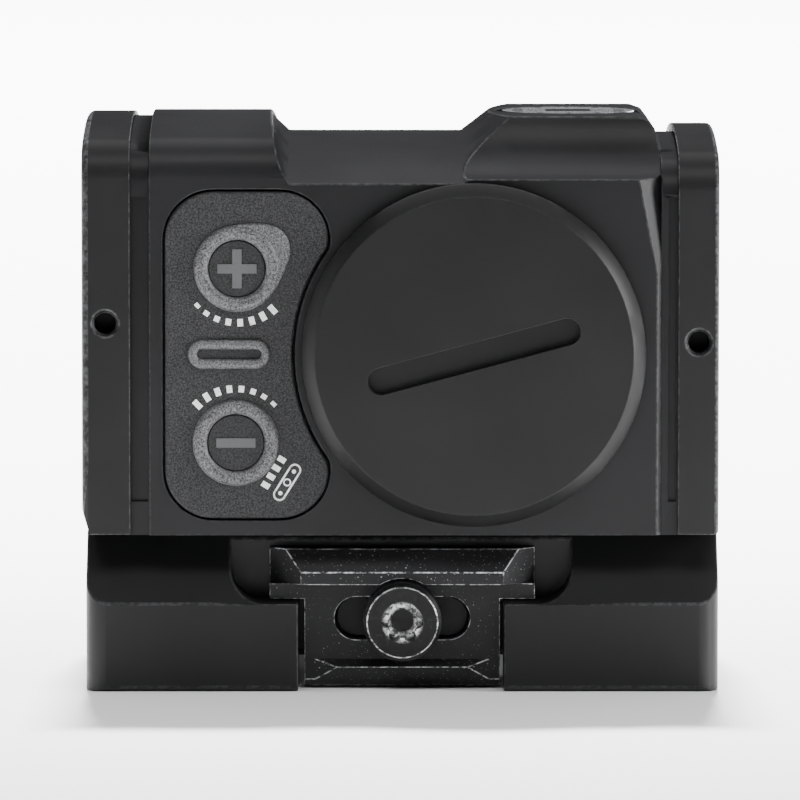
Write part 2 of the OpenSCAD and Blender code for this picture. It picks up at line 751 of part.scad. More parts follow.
module base_screws() color("#1c1c1e") for (x = [-1, 1], y = [-1, 1])
    translate([base_x + x * base_screw_x, y * base_screw_y, 0]) difference() {
        union() {
            translate([0, 0, 0.1]) cylinder(r1 = 2.85, r2 = bolt_r, h = 1.5);
            translate([0, 0, 1]) cylinder(r = bolt_r, h = 8.3);
        }
        translate([0, 0, 0]) linear_extrude(1.2) six_lobe(1.15);
    }

main_housing();
front_hood();
rear_hood();
front_lens();
rear_lens();
front_lens_gasket();
rear_lens_gasket();
rear_lens_cell();
front_hood_screws();
rear_hood_screws();
battery_cap();
cap_o_ring();
coin_cell();
cell_contact_spring();
circuit_board();
switch_domes();
keypad();
plus_button();
minus_button();
elevation_dial();
elevation_dial_o_ring();
windage_dial();
windage_dial_o_ring();
click_balls();
click_springs();
elevation_frame();
windage_frame();
led_emitter();
elevation_return_spring();
rail_base();
clamp_jaw();
clamp_bolt();
clamp_nut();
recoil_key();
base_screws();
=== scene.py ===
import math
import bpy
import bmesh
from mathutils import Matrix, Vector


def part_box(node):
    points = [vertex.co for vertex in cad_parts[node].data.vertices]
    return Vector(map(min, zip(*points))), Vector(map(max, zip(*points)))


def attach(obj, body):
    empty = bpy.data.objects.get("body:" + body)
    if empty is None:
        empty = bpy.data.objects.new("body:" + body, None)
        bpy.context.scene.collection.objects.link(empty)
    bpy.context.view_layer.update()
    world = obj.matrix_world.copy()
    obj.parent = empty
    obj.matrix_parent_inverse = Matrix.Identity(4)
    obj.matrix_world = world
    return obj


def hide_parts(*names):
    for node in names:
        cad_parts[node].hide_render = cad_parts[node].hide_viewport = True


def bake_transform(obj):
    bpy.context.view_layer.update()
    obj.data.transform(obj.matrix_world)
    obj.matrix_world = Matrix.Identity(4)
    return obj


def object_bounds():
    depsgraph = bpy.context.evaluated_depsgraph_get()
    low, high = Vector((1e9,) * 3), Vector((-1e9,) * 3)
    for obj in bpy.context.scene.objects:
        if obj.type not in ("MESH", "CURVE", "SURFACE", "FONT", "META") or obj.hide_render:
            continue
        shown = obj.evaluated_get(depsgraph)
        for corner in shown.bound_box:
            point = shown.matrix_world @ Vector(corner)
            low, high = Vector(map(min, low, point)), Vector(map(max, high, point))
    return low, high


# Enclosed red dot sight on a cross-slot rail clamp.
# -X is the objective end, +X the eye end, -Y the side with the battery cap and the keys.

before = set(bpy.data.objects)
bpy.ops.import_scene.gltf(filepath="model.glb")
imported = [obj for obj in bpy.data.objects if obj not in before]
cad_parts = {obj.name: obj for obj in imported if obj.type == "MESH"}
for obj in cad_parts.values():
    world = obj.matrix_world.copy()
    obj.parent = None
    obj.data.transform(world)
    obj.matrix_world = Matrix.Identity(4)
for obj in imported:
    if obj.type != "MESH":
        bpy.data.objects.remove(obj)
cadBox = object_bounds()
print("frame loaded:", len(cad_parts), "nodes")

mm = 0.001


def linear(hexColor):
    # sRGB hex to linear RGBA
    hexColor = hexColor.lstrip("#")
    channels = [int(hexColor[i:i + 2], 16) / 255 for i in (0, 2, 4)]
    return tuple(c / 12.92 if c <= 0.04045 else ((c + 0.055) / 1.055) ** 2.4 for c in channels) + (1.0,)


def boxMm(nodeName):
    low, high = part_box(nodeName)
    return Vector(low) / mm, Vector(high) / mm


def frontCentre(nodeName):
    # a piece's centre seen from the front, as (x, z) in mm
    low, high = boxMm(nodeName)
    return (low.x + high.x) / 2, (low.z + high.z) / 2


def addNode(tree, kind, settings=None, **inputs):
    # one node with its settings; an input is either a value or another node's output socket
    node = tree.nodes.new(kind)
    for key, value in (settings or {}).items():
        setattr(node, key, value)
    for key, value in inputs.items():
        byNumber = key[0] == "i" and key[1:].isdigit()
        socket = node.inputs[int(key[1:]) if byNumber else key.replace("_", " ")]
        if isinstance(value, bpy.types.NodeSocket):
            tree.links.new(value, socket)
        else:
            socket.default_value = value
    return node


def startMaterial(name):
    material = bpy.data.materials.new(name)
    material.use_nodes = True
    tree = material.node_tree
    shader = tree.nodes["Principled BSDF"]
    return material, tree, shader


def rampNode(tree, factor, stops):
    # colour ramp from (position, colour) stops
    ramp = addNode(tree, "ShaderNodeValToRGB", Fac=factor)
    elements = ramp.color_ramp.elements
    while len(elements) < len(stops):
        elements.new(0.5)
    for element, (position, color) in zip(elements, stops):
        element.position = position
        element.color = color
    return ramp


def grey(value):
    return (value, value, value, 1.0)


def anodisedAluminium(name, dark, pale, roughness, grainMm, grainDepthMm, wearAndGlint=0.0, wornAndGlintColor="#5a5b5d", specks=0.0,
                      shine=0.25):
    # Machined 6061, bead-blasted and hard-anodised black: a matt near-black with a fine even grain.
    # Along the bevelled edges the dye is rubbed thin and the grey of the oxide shows through; on the hoods that edge
    # colour is paler and is partly a painted highlight.
    material, tree, shader = startMaterial(name)
    place = addNode(tree, "ShaderNodeTexCoord").outputs["Object"]
    grain = addNode(tree, "ShaderNodeTexNoise", Vector=place, Scale=1 / (grainMm * mm), Detail=3.0, Roughness=0.6)
    cloud = addNode(tree, "ShaderNodeTexNoise", Vector=place, Scale=1 / (9 * mm), Detail=2.0)
    blend = addNode(tree, "ShaderNodeMath", {"operation": "MULTIPLY_ADD"},
                    i0=grain.outputs["Fac"], i1=0.55, i2=cloud.outputs["Fac"])
    tone = rampNode(tree, blend.outputs[0], [(0.45, linear(dark)), (1.05, linear(pale))])
    rubbed = addNode(tree, "ShaderNodeTexNoise", Vector=place, Scale=1 / (0.5 * mm), Detail=4.0, Roughness=0.7)
    patchy = addNode(tree, "ShaderNodeMapRange", i0=rubbed.outputs["Fac"], i1=0.42, i2=0.62, i3=0.0, i4=wearAndGlint)
    edge = addNode(tree, "ShaderNodeAttribute", {"attribute_name": "edgeWearAndGlint"})
    rubbingAndGlint = addNode(tree, "ShaderNodeMath", {"operation": "MULTIPLY"}, i0=edge.outputs["Fac"], i1=patchy.outputs[0])
    # pinpricks of bare metal where the blasting left sharp grains
    prick = addNode(tree, "ShaderNodeTexNoise", Vector=place, Scale=1 / (0.13 * mm), Detail=1.0)
    bright = addNode(tree, "ShaderNodeMapRange", i0=prick.outputs["Fac"], i1=0.7, i2=0.76, i3=0.0, i4=specks)
    bareAndGlint = addNode(tree, "ShaderNodeMath", {"operation": "MAXIMUM"}, i0=rubbingAndGlint.outputs[0], i1=bright.outputs[0])
    color = addNode(tree, "ShaderNodeMix", {"data_type": "RGBA"},
                    Factor=bareAndGlint.outputs[0], i6=tone.outputs["Color"], i7=linear(wornAndGlintColor))
    tree.links.new(color.outputs[2], shader.inputs["Base Color"])
    gloss = addNode(tree, "ShaderNodeMapRange", i0=grain.outputs["Fac"], i1=0.3, i2=0.7,
                    i3=roughness - 0.05, i4=roughness + 0.06)
    tree.links.new(gloss.outputs[0], shader.inputs["Roughness"])
    bump = addNode(tree, "ShaderNodeBump", Height=grain.outputs["Fac"], Strength=0.5, Distance=grainDepthMm * mm)
    tree.links.new(bump.outputs["Normal"], shader.inputs["Normal"])
    shader.inputs["Metallic"].default_value = 0.0
    shader.inputs["IOR"].default_value = 1.5
    # the blasted oxide scatters, so little is left of the mirror part
    shader.inputs["Specular IOR Level"].default_value = shine
    return material


def plainFinish(name, color, metallic, roughness, grainMm=0.3, depthMm=0.004):
    # a turned, moulded or plated surface with a slight unevenness
    material, tree, shader = startMaterial(name)
    place = addNode(tree, "ShaderNodeTexCoord").outputs["Object"]
    grain = addNode(tree, "ShaderNodeTexNoise", Vector=place, Scale=1 / (grainMm * mm), Detail=2.0)
    base = linear(color)
    tone = rampNode(tree, grain.outputs["Fac"], [
        (0.35, tuple(c * 0.85 for c in base[:3]) + (1.0,)), (0.65, tuple(min(1, c * 1.1) for c in base[:3]) + (1.0,))])
    tree.links.new(tone.outputs["Color"], shader.inputs["Base Color"])
    gloss = addNode(tree, "ShaderNodeMapRange", i0=grain.outputs["Fac"], i1=0.3, i2=0.7,
                    i3=max(0.02, roughness - 0.06), i4=roughness + 0.06)
    tree.links.new(gloss.outputs[0], shader.inputs["Roughness"])
    bump = addNode(tree, "ShaderNodeBump", Height=grain.outputs["Fac"], Strength=0.3, Distance=depthMm * mm)
    tree.links.new(bump.outputs["Normal"], shader.inputs["Normal"])
    shader.inputs["Metallic"].default_value = metallic
    return material


def speckledRubber(name, dark, pale, roughness, grainMm, depthMm, signFrontMm=None, signColor=None):
    # Moulded silicone with a spark-eroded mould texture: a dull grey, lit up in tiny specks
    material, tree, shader = startMaterial(name)
    place = addNode(tree, "ShaderNodeTexCoord").outputs["Object"]
    grain = addNode(tree, "ShaderNodeTexNoise", Vector=place, Scale=1 / (grainMm * mm), Detail=4.0, Roughness=0.75)
    tone = rampNode(tree, grain.outputs["Fac"], [(0.42, linear(dark)), (0.66, linear(pale))])
    color = tone.outputs["Color"]
    if signFrontMm is not None:
        # the raised sign is moulded in a paler grey
        along = addNode(tree, "ShaderNodeSeparateXYZ", Vector=place).outputs["Y"]
        front = addNode(tree, "ShaderNodeMath", {"operation": "LESS_THAN"}, i0=along, i1=signFrontMm * mm)
        color = addNode(tree, "ShaderNodeMix", {"data_type": "RGBA"}, Factor=front.outputs[0],
                        i6=color, i7=linear(signColor)).outputs[2]
    tree.links.new(color, shader.inputs["Base Color"])
    gloss = addNode(tree, "ShaderNodeMapRange", i0=grain.outputs["Fac"], i1=0.35, i2=0.65,
                    i3=roughness - 0.08, i4=roughness + 0.1)
    tree.links.new(gloss.outputs[0], shader.inputs["Roughness"])
    bump = addNode(tree, "ShaderNodeBump", Height=grain.outputs["Fac"], Strength=0.8, Distance=depthMm * mm)
    tree.links.new(bump.outputs["Normal"], shader.inputs["Normal"])
    shader.inputs["Metallic"].default_value = 0.0
    shader.inputs["Specular IOR Level"].default_value = 0.3
    return material


def coatedGlass(name, tint, coating):
    # Polished optical glass with a dielectric coating: clear, with a coloured reflection at a slant
    material, tree, shader = startMaterial(name)
    place = addNode(tree, "ShaderNodeTexCoord").outputs["Object"]
    smear = addNode(tree, "ShaderNodeTexNoise", Vector=place, Scale=1 / (6 * mm), Detail=2.0)
    edge = addNode(tree, "ShaderNodeLayerWeight", Blend=0.35)
    amount = addNode(tree, "ShaderNodeMath", {"operation": "MULTIPLY_ADD"},
                     i0=smear.outputs["Fac"], i1=0.12, i2=edge.outputs["Facing"])
    color = rampNode(tree, amount.outputs[0], [(0.05, linear(tint)), (0.85, linear(coating))])
    tree.links.new(color.outputs["Color"], shader.inputs["Base Color"])
    shader.inputs["Transmission Weight"].default_value = 0.85
    shader.inputs["Roughness"].default_value = 0.03
    shader.inputs["IOR"].default_value = 1.52
    shader.inputs["Coat Weight"].default_value = 0.4
    shader.inputs["Coat Tint"].default_value = linear(coating)
    return material


def wornBoltWithRimGlint(name, axisMm, recessMm, rimMm, faceMm):
    # Black-oxide steel: the key has polished the six-lobe recess back to bare metal; a thin bare band round the head's
    # rim is partly rubbed metal and partly a painted highlight on that edge
    material, tree, shader = startMaterial(name)
    place = addNode(tree, "ShaderNodeTexCoord").outputs["Object"]
    centred = addNode(tree, "ShaderNodeVectorMath", {"operation": "SUBTRACT"},
                      i0=place, i1=(axisMm[0] * mm, 0, axisMm[1] * mm))
    flat = addNode(tree, "ShaderNodeVectorMath", {"operation": "MULTIPLY"}, i0=centred.outputs[0], i1=(1, 0, 1))
    radius = addNode(tree, "ShaderNodeVectorMath", {"operation": "LENGTH"}, i0=flat.outputs[0]).outputs["Value"]
    scratch = addNode(tree, "ShaderNodeTexNoise", Vector=place, Scale=1 / (0.35 * mm), Detail=4.0, Roughness=0.7)
    wobble = addNode(tree, "ShaderNodeMath", {"operation": "MULTIPLY_ADD"},
                     i0=scratch.outputs["Fac"], i1=0.5 * mm, i2=radius)
    reach = addNode(tree, "ShaderNodeMapRange", i0=wobble.outputs[0], i1=recessMm * mm, i2=(recessMm + 0.3) * mm,
                    i3=1.0, i4=0.0)
    past = addNode(tree, "ShaderNodeMapRange", i0=radius, i1=(recessMm - 0.75) * mm, i2=(recessMm - 0.5) * mm)
    patchy = addNode(tree, "ShaderNodeMapRange", i0=scratch.outputs["Fac"], i1=0.44, i2=0.56, i3=0.1, i4=1.0)
    ring = addNode(tree, "ShaderNodeMath", {"operation": "MULTIPLY"}, i0=reach.outputs[0], i1=past.outputs[0])
    inner = addNode(tree, "ShaderNodeMath", {"operation": "MULTIPLY"}, i0=ring.outputs[0], i1=patchy.outputs[0])
    # a thin bright line where the head's face turns down to its rim: rubbed metal and a painted highlight on that edge
    fromRim = addNode(tree, "ShaderNodeMath", {"operation": "COMPARE"}, i0=radius, i1=rimMm * mm, i2=0.05 * mm)
    outer = addNode(tree, "ShaderNodeMath", {"operation": "MULTIPLY"}, i0=fromRim.outputs[0], i1=patchy.outputs[0])
    along = addNode(tree, "ShaderNodeSeparateXYZ", Vector=place).outputs["Y"]
    onFace = addNode(tree, "ShaderNodeMath", {"operation": "LESS_THAN"}, i0=along, i1=faceMm * mm)
    rimWearAndGlint = addNode(tree, "ShaderNodeMath", {"operation": "MULTIPLY"}, i0=outer.outputs[0], i1=onFace.outputs[0])
    bareAndGlint = addNode(tree, "ShaderNodeMath", {"operation": "MAXIMUM"}, i0=inner.outputs[0], i1=rimWearAndGlint.outputs[0])
    color = addNode(tree, "ShaderNodeMix", {"data_type": "RGBA"}, Factor=bareAndGlint.outputs[0],
                    i6=linear("#101011"), i7=linear("#e4e5e6"))
    tree.links.new(color.outputs[2], shader.inputs["Base Color"])
    tree.links.new(bareAndGlint.outputs[0], shader.inputs["Metallic"])
    shader.inputs["Specular IOR Level"].default_value = 0.2
    gloss = addNode(tree, "ShaderNodeMapRange", i0=scratch.outputs["Fac"], i1=0.3, i2=0.7, i3=0.25, i4=0.42)
    tree.links.new(gloss.outputs[0], shader.inputs["Roughness"])
    bump = addNode(tree, "ShaderNodeBump", Height=scratch.outputs["Fac"], Strength=0.4, Distance=0.02 * mm)
    tree.links.new(bump.outputs["Normal"], shader.inputs["Normal"])
    return material


housingBlack = anodisedAluminium("anodised_housing_black", "#121213", "#1b1b1d", 0.42, 0.14, 0.006, 0.3)
# the hoods' pale edge colour is rubbed metal and also a painted highlight along their rims
hoodBlackEdgeGlint = anodisedAluminium("anodised_hood_black_edge_glint", "#111112", "#1a1a1b", 0.43, 0.14, 0.006, 0.22, "#8a8b8e")
baseBlack = anodisedAluminium("anodised_base_black", "#101011", "#181819", 0.44, 0.14, 0.006, 0.3)
jawBlack = anodisedAluminium("anodised_jaw_black", "#151516", "#202022", 0.42, 0.14, 0.01, 1.0, "#d6d7d9", 0.45)
capBlack = anodisedAluminium("anodised_cap_black", "#121213", "#1a1a1b", 0.4, 0.12, 0.005, 0.1)
dialSilver = plainFinish("satin_anodised_dial", "#c3c5c8", 0.85, 0.24, 0.25, 0.003)
# black ink for the dial marks, also used as painted shade on the slots' floors
dialInkAndShade = plainFinish("black_dial_ink_and_painted_shade", "#0d0d0e", 0.0, 0.6, 0.1, 0.002)
innerBlack = anodisedAluminium("anodised_inner_black", "#050506", "#0a0a0b", 0.6, 0.14, 0.008)
siliconeRubber = speckledRubber("silicone_keypad_rubber", "#0b0b0c", "#434345", 0.48, 0.13, 0.05)
# the raised rings and bar are the keypad's own silicone made paler: a painted highlight for the light caught on their
# slopes
litRidgeRubber = speckledRubber("silicone_ridge_rubber_painted_highlight", "#39393b", "#818183", 0.32, 0.13, 0.03)
# the sign stands 0.06 mm proud of the key's face
signFront = boxMm("plus_button")[0].y + 0.06
keyRubber = speckledRubber("silicone_key_rubber", "#111112", "#3c3c3e", 0.5, 0.13, 0.04, signFront, "#545557")
printWhite = plainFinish("white_printing_ink", "#f2f2f2", 0.0, 0.45, 0.1, 0.004)
sealRubber = plainFinish("nitrile_seal_rubber", "#0c0c0c", 0.0, 0.55)
blackSteel = plainFinish("black_oxide_steel", "#151516", 0.6, 0.35)
# the rim's bright band, rubbed metal and painted highlight, reaches 0.45 mm back from the front of the head
boltFace = boxMm("clamp_bolt")[0].y + 0.45
boltSteel = wornBoltWithRimGlint("worn_black_oxide_steel_with_rim_glint", frontCentre("clamp_bolt"), 1.55, 2.62, boltFace)
springSteel = plainFinish("bright_spring_steel", "#c4c6c8", 1.0, 0.25)
nickel = plainFinish("nickel_plated_cell", "#c9cacb", 1.0, 0.22)
goldContact = plainFinish("gold_plated_contact", "#d9aa4e", 1.0, 0.25)
solderMask = plainFinish("green_solder_mask", "#0f4a2c", 0.0, 0.3)
machinedAluminium = plainFinish("machined_aluminium", "#b8babd", 1.0, 0.35)
emitterResin = plainFinish("red_emitter_resin", "#a81a12", 0.0, 0.2)
objectiveGlass = coatedGlass("coated_objective_glass", "#c8b9d6", "#7a3fa0")
eyeGlass = coatedGlass("coated_eye_glass", "#dfe8e6", "#4a8f86")
print("materials ready")


nodeFinish = {
    "rear_lens_cell": innerBlack, "front_lens": objectiveGlass, "rear_lens": eyeGlass,
    "elevation_dial": dialSilver, "windage_dial": dialSilver,
    "front_lens_gasket": sealRubber, "rear_lens_gasket": sealRubber, "cap_o_ring": sealRubber,
    "elevation_dial_o_ring": sealRubber, "windage_dial_o_ring": sealRubber,
    "front_hood_screws": blackSteel, "rear_hood_screws": blackSteel, "base_screws": blackSteel,
    "clamp_bolt": boltSteel, "recoil_key": blackSteel, "clamp_nut": springSteel,
    "coin_cell": nickel, "cell_contact_spring": goldContact, "circuit_board": solderMask,
    "switch_domes": springSteel, "click_balls": springSteel, "click_springs": springSteel,
    "elevation_return_spring": springSteel, "elevation_frame": machinedAluminium,
    "windage_frame": machinedAluminium, "led_emitter": emitterResin,
    "plus_button": keyRubber, "minus_button": keyRubber,
}
for nodeName, material in nodeFinish.items():
    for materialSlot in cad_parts[nodeName].material_slots:
        materialSlot.material = material


def mergedCopy(nodeName):
    # a welded copy of a carried-over part, with its flat faces made whole again
    bm = bmesh.new()
    bm.from_mesh(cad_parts[nodeName].data)
    bmesh.ops.remove_doubles(bm, verts=bm.verts, dist=0.002 * mm)
    bmesh.ops.dissolve_limit(bm, angle_limit=math.radians(0.6), verts=bm.verts, edges=bm.edges,
                             use_dissolve_boundaries=False, delimit=set())
    return bm


def breakEdges(bm, widthMm, minTurn, chooseEdge=None, segments=2):
    # bevels the outward edges and marks the new faces for the rubbed edge colour, which on the hoods is also a painted
    # highlight
    edges = [edge for edge in bm.edges
             if edge.is_manifold and edge.is_convex and math.degrees(edge.calc_face_angle(0)) > minTurn
             and (chooseEdge is None or chooseEdge(edge))]
    layer = bm.faces.layers.float.get("edgeWearAndGlint") or bm.faces.layers.float.new("edgeWearAndGlint")
    result = bmesh.ops.bevel(bm, geom=edges, offset=widthMm * mm, offset_type="OFFSET", segments=segments,
                             profile=0.5, affect="EDGES", clamp_overlap=False, material=-1)
    for face in result["faces"]:
        face[layer] = 1.0


def finishPiece(bm, name, material, body, replaced=(), sharpAngle=32):
    mesh = bpy.data.meshes.new(name)
    bm.to_mesh(mesh)
    bm.free()
    mesh.materials.append(material)
    mesh.shade_smooth()
    mesh.set_sharp_from_angle(angle=math.radians(sharpAngle))
    piece = bpy.data.objects.new(name, mesh)
    bpy.context.scene.collection.objects.link(piece)
    weighted = piece.modifiers.new("faceWeighted", "WEIGHTED_NORMAL")
    weighted.keep_sharp = True
    if body:
        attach(piece, body)
    if replaced:
        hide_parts(*replaced)
    return piece


def edgeMiddle(edge):
    return (edge.verts[0].co + edge.verts[1].co) / (2 * mm)


frontX = boxMm("front_hood")[0].x
rearX = boxMm("rear_hood")[1].x

# mm and degrees; the rim is the outer end's edge, beyond rimY to the sides or above rimZ
hoodSet = {"frontRound": 0.5, "rearRound": 0.32, "edge": 0.09, "minTurn": 40, "rimY": 14.2, "rimZ": 33, "sameEnd": 0.02,
           "clearOfRound": 0.1, "roundSegments": 4}


def makeHood(nodeName, faceX, roundMm, settings):
    # the outer end has a full round round its rim, the other edges are only broken
    def onRim(edge):
        ends = [vert.co / mm for vert in edge.verts]
        return all(abs(end.x - faceX) < settings["sameEnd"]
                   and (abs(end.y) > settings["rimY"] or end.z > settings["rimZ"]) for end in ends)

    def pastRound(edge):
        return abs(edgeMiddle(edge).x - faceX) > roundMm + settings["clearOfRound"]

    bm = mergedCopy(nodeName)
    breakEdges(bm, roundMm, settings["minTurn"], onRim, settings["roundSegments"])
    breakEdges(bm, settings["edge"], settings["minTurn"], pastRound)
    return bm


finishPiece(makeHood("front_hood", frontX, hoodSet["frontRound"], hoodSet), "frontHoodShell", hoodBlackEdgeGlint,
            "root", ["front_hood"])
finishPiece(makeHood("rear_hood", rearX, hoodSet["rearRound"], hoodSet), "rearHoodShell", hoodBlackEdgeGlint,
            "root", ["rear_hood"])

# mm: the side grooves lie beyond these x places, the cavity within this y and z
skinSet = {"frontGroove": -18.75, "rearGroove": 19.45, "cavityY": 11, "cavityZ": 34.5, "minTurn": 30}


def onHousingSkin(edge):
    # the outer edges only: not the grooves' floors, the reliefs or the cavity
    middle = edgeMiddle(edge)
    inGroove = middle.x < skinSet["frontGroove"] or middle.x > skinSet["rearGroove"]
    inside = abs(middle.y) < skinSet["cavityY"] and middle.z < skinSet["cavityZ"]
    return not inGroove and not inside


edgeSet = [
    # node, piece, material, body, slot, edge width in mm, which edges
    ("main_housing", "housingShell", housingBlack, "root", "anodised_housing", 0.11, onHousingSkin),
    ("rail_base", "railBaseShell", baseBlack, "root", "anodised_base", 0.14, None),
    ("clamp_jaw", "clampJawShell", jawBlack, "clamp_jaw", "anodised_base", 0.06, None),
    ("battery_cap", "batteryCapShell", capBlack, "battery_cap", "anodised_cap", 0.06, None),
]
for nodeName, pieceName, material, body, slotName, width, chooseEdge in edgeSet:
    bm = mergedCopy(nodeName)
    breakEdges(bm, width, skinSet["minTurn"], chooseEdge)
    finishPiece(bm, pieceName, material, body, [nodeName])
print("machined parts ready")

# the return spring stands on the housing under the elevation slide; its wire is copied as it is
springBody = bmesh.new()
springBody.from_mesh(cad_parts["elevation_return_spring"].data)
spring = finishPiece(springBody, "returnSpringWire", springSteel, None,
                     ["elevation_return_spring"], 60)
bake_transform(spring)


padSet = {
    "frontMm": -15.2, "plus": frontCentre("plus_button"), "minus": frontCentre("minus_button"),
    "bar": (-12.65, 19.55),
    "ringInner": 2.12, "ringOuter": 3.22, "ringHeight": 0.46, "ringRound": 0.45,
    "lobeInner": 2.7, "lobeHeight": 0.26, "lobeRound": 0.2,
    "lobeTurn": 34.5, "lobeReach": 1.2, "lobeSpread": 33, "plateRound": 0.22,
    "sink": 0.05, "cutBehind": 0.012, "keyClear": 2.4, "lobeInset": 0.02, "barPoints": 48,
    "barSize": (6.1, 2.15), "barHollow": (4.75, 0.72), "barHeight": 0.42, "barRound": 0.3,
}


def circleLoop(bm, radius, centre, depth, count=80):
    # one ring of points round a place on the pad, facing -Y
    place = Matrix.Translation(Vector((centre[0], depth, centre[1])) * mm) @ Matrix.Rotation(math.radians(90), 4, "X")
    place = place @ Matrix.Rotation(math.pi / count, 4, "Z")
    return bmesh.ops.create_circle(bm, cap_ends=False, segments=count, radius=radius * mm, matrix=place)["verts"]


def loopEdges(verts):
    chosen = set(verts)
    return [edge for edge in {edge for vert in verts for edge in vert.link_edges}
            if edge.verts[0] in chosen and edge.verts[1] in chosen]


def raiseRing(bm, inner, outer, height, roundMm):
    # a flat band between two loops, raised into a wall with a round top
    band = bmesh.ops.bridge_loops(bm, edges=loopEdges(inner) + loopEdges(outer))["faces"]
    bmesh.ops.recalc_face_normals(bm, faces=band)
    if band[0].normal.y > 0:
        bmesh.ops.reverse_faces(bm, faces=band)
    raised = bmesh.ops.extrude_face_region(bm, geom=band, use_keep_orig=True)["geom"]
    topVerts = [item for item in raised if isinstance(item, bmesh.types.BMVert)]
    topFaces = [item for item in raised if isinstance(item, bmesh.types.BMFace)]
    bmesh.ops.translate(bm, verts=topVerts, vec=(0, -height * mm, 0))
    bmesh.ops.reverse_faces(bm, faces=band)
    rimWearAndGlint = [edge for edge in {edge for face in topFaces for edge in face.edges}
           if len([face for face in edge.link_faces if face in topFaces]) == 1]
    bmesh.ops.bevel(bm, geom=rimWearAndGlint, offset=roundMm * mm, offset_type="OFFSET", segments=4, profile=0.5,
                    affect="EDGES", clamp_overlap=True, material=-1)


def pullLobe(verts, centre, settings):
    # the plus key's ring swells towards its upper right into a lobe that a thumb can find
    middle = Vector((centre[0], 0, centre[1])) * mm
    for vert in verts:
        out = Vector((vert.co.x - middle.x, 0, vert.co.z - middle.z))
        turn = math.degrees(math.atan2(out.z, out.x)) - settings["lobeTurn"]
        turn = (turn + 180) % 360 - 180
        vert.co += out.normalized() * settings["lobeReach"] * mm * math.exp(-(turn / settings["lobeSpread"]) ** 2)


def stretchLoop(verts, centreX, extra):
    # pulls a round loop out into an oblong
    for vert in verts:
        vert.co.x += math.copysign(extra / 2 * mm, vert.co.x - centreX * mm)


def makeKeypad(settings):
    bm = mergedCopy("keypad")
    front = settings["frontMm"] * mm
    cut = front + settings["cutBehind"] * mm
    bmesh.ops.bisect_plane(bm, geom=bm.verts[:] + bm.edges[:] + bm.faces[:], dist=1e-7,
                           plane_co=(0, cut, 0), plane_no=(0, -1, 0), clear_outer=True)
    openEdges = [edge for edge in bm.edges if edge.is_boundary]
    bmesh.ops.triangle_fill(bm, use_beauty=True, use_dissolve=True, edges=openEdges, normal=(0, -1, 0))
    bmesh.ops.recalc_face_normals(bm, faces=bm.faces)
    outline = [edge for edge in openEdges if edge.is_valid
               and all((Vector((v.co.x, v.co.z)) / mm - Vector(at)).length > settings["keyClear"]
                       for v in edge.verts for at in (settings["plus"], settings["minus"]))]
    bmesh.ops.bevel(bm, geom=outline, offset=settings["plateRound"] * mm, offset_type="OFFSET", segments=3,
                    profile=0.5, affect="EDGES", clamp_overlap=False, material=-1)
    return bm


def makeRidges(settings):
    bm = bmesh.new()
    foot = settings["frontMm"] + settings["sink"]
    height = settings["ringHeight"] + settings["sink"]
    for key in ("plus", "minus"):
        inner = circleLoop(bm, settings["ringInner"], settings[key], foot)
        outer = circleLoop(bm, settings["ringOuter"], settings[key], foot)
        if key == "plus":
            # the thumb lobe lies lower than the ring it grows from
            lobeInner = circleLoop(bm, settings["lobeInner"], settings[key], foot)
            lobeOuter = circleLoop(bm, settings["ringOuter"] - settings["lobeInset"], settings[key], foot)
            pullLobe(lobeOuter, settings[key], settings)
            raiseRing(bm, lobeInner, lobeOuter, settings["lobeHeight"] + settings["sink"], settings["lobeRound"])
        raiseRing(bm, inner, outer, height, settings["ringRound"])
    length, width = settings["barSize"]
    hollowLength, hollowWidth = settings["barHollow"]
    inner = circleLoop(bm, hollowWidth / 2, settings["bar"], foot, settings["barPoints"])
    stretchLoop(inner, settings["bar"][0], hollowLength - hollowWidth)
    outer = circleLoop(bm, width / 2, settings["bar"], foot, settings["barPoints"])
    stretchLoop(outer, settings["bar"][0], length - width)
    raiseRing(bm, inner, outer, settings["barHeight"] + settings["sink"], settings["barRound"])
    return bm


finishPiece(makeKeypad(padSet), "keypadPlate", siliconeRubber, "root", ["keypad"])
finishPiece(makeRidges(padSet), "keypadRidges", litRidgeRubber, "root", sharpAngle=50)

# white marks: a scale that grows under the plus key, one that shrinks over the minus key, four bars,
# and a pill with a ring between two dots
printSet = {
    "proud": 0.03, "sink": 0.01, "radius": 4.02, "tall": 0.74, "short": 0.3, "barWidth": 0.42, "count": 8,
    "plusArc": (223, 311), "minusArc": (135, 46), "pillAt": (-8.35, 10.0), "pillTurn": 58,
    "pill": (3.1, 0.95), "stroke": 0.14, "capPieces": 9, "capPiece": 0.2, "ring": (0.3, 0.19), "dot": 0.16,
    "dotReach": 0.95, "rowAt": (-9.35, 10.75), "rowCount": 4, "rowStep": 0.75, "rowBar": (0.42, 0.62),
}


def printBlock(bm, at, turn, size, settings):
    # a thin printed rectangle
    depth = settings["proud"] + settings["sink"]
    middle = padSet["frontMm"] - settings["proud"] + depth / 2
    place = (Matrix.Translation(Vector((at[0], middle, at[1])) * mm) @ Matrix.Rotation(-math.radians(turn), 4, "Y")
             @ Matrix.Diagonal((size[0] * mm, depth * mm, size[1] * mm, 1)))
    bmesh.ops.create_cube(bm, size=1, matrix=place)


